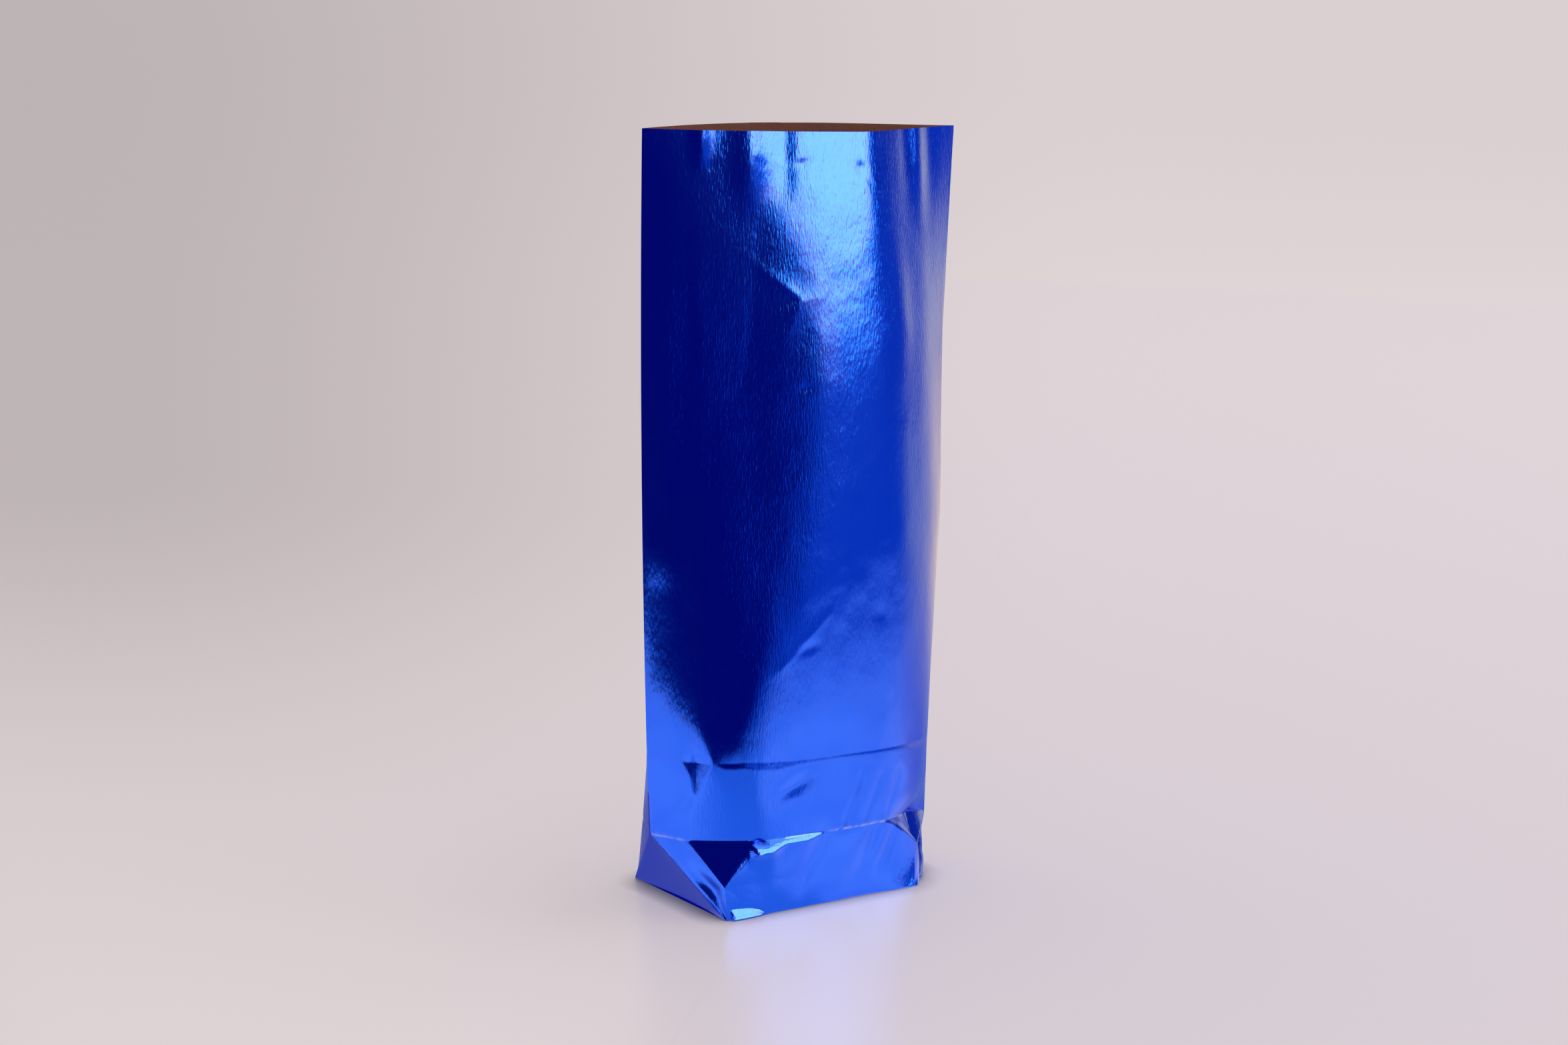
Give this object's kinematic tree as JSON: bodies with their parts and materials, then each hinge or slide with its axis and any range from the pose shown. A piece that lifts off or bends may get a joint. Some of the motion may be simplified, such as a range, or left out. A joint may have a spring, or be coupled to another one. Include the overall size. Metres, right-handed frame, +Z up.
{
  "type": "candy bag",
  "caption": "Empty foil-faced kraft paper bag for sweets, standing open at the top on its folded envelope base.",
  "frame": {"origin": "on the surface that the bag stands on, under the middle of its bounding box", "axes": "+Z up through the mouth, the front faces -Y and the bag's width runs along X"},
  "size_m": [0.106, 0.0484, 0.2108],
  "materials": {
    "foil": "blue metallic foil, finely brushed upwards and lightly creased",
    "kraft": "uncoated brown kraft paper, on the inside of the foil"
  },
  "bodies": {
    "root": {"bag": "foil"}
  },
  "joints": []
}
